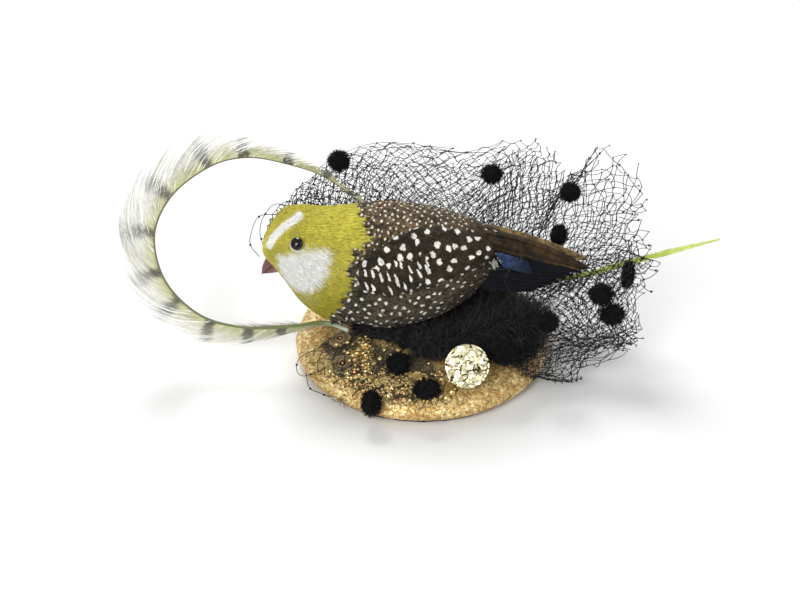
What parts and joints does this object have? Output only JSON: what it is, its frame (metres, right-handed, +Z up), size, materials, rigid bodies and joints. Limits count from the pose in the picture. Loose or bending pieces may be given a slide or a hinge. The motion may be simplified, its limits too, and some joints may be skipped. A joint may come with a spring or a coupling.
{
  "type": "fascinator headpiece",
  "caption": "Small domed hat base with a feathered bird, a curled barred feather, spotted net veiling, lace and a disc, worn by a sprung hair clip inside it.",
  "frame": {"origin": "centre of the base's rim, on the surface that the rim stands on", "axes": "+X towards the bird's tail, +Y towards the back of the piece, +Z up through the crown of the base"},
  "size_m": [0.2289, 0.1053, 0.0894],
  "materials": {
    "gold_leather": "satin",
    "buckram": "matte",
    "felt": "matte",
    "binding": "matte",
    "steel": "satin",
    "foam": "matte",
    "plumage_olive": "matte",
    "plumage_speckled": "matte",
    "wing": "matte",
    "tail_russet": "satin",
    "tail_navy": "satin",
    "tail_blue": "satin",
    "beak": "satin",
    "eye": "gloss",
    "quill": "satin",
    "vane": "matte",
    "lime": "satin",
    "veiling": "matte",
    "lace": "matte",
    "brass": "polished",
    "fluff": "matte",
    "chenille": "matte"
  },
  "bodies": {
    "base": {"base_cover": "gold_leather", "base_shell": "buckram", "base_lining": "felt", "rim_binding": "binding", "rim_wire": "steel", "clip_fixed_arm": "steel", "clip_hinge_pin": "steel", "clip_spring": "steel", "clip_pad": "felt", "bird_foam_core": "foam", "bird_head_plumage": "plumage_olive", "bird_body_plumage": "plumage_speckled", "bird_beak_upper": "beak", "bird_beak_lower": "beak", "bird_eye_left": "eye", "bird_eye_right": "eye", "bird_wing_left": "wing", "bird_wing_right": "wing", "bird_tail_upper": "tail_russet", "bird_tail_lower": "tail_navy", "bird_tail_blue": "tail_blue", "bird_wire_1": "steel", "bird_wire_2": "steel", "curled_feather_shaft": "quill", "curled_feather_vane": "vane", "green_feather": "lime", "veil_back": "veiling", "veil_side": "veiling", "veil_front": "veiling", "veil_rear": "veiling", "lace_applique": "lace", "lace_flower_1": "lace", "lace_flower_2": "lace", "gold_disc": "brass", "marabou_fluff": "fluff", "gold_bead_1": "brass", "gold_bead_2": "brass", "gold_bead_3": "brass", "gold_bead_4": "brass", "chenille_spot_01": "chenille", "chenille_spot_02": "chenille", "chenille_spot_03": "chenille", "chenille_spot_04": "chenille", "chenille_spot_05": "chenille", "chenille_spot_06": "chenille", "chenille_spot_07": "chenille", "chenille_spot_08": "chenille", "chenille_spot_09": "chenille", "chenille_spot_10": "chenille", "chenille_spot_11": "chenille", "chenille_spot_12": "chenille"},
    "jaw": {"clip_jaw": "steel", "clip_spring_leg": "steel"}
  },
  "joints": [
    {"name": "clip_jaw_hinge", "type": "hinge", "parent": "base", "child": "jaw", "pos_m": [0.007, 0.01, 0.0076], "axis": [0, -1, 0], "range_deg": [0, 22], "stiffness_Nm_per_rad": 0.02, "springref_deg": -28.65}
  ]
}
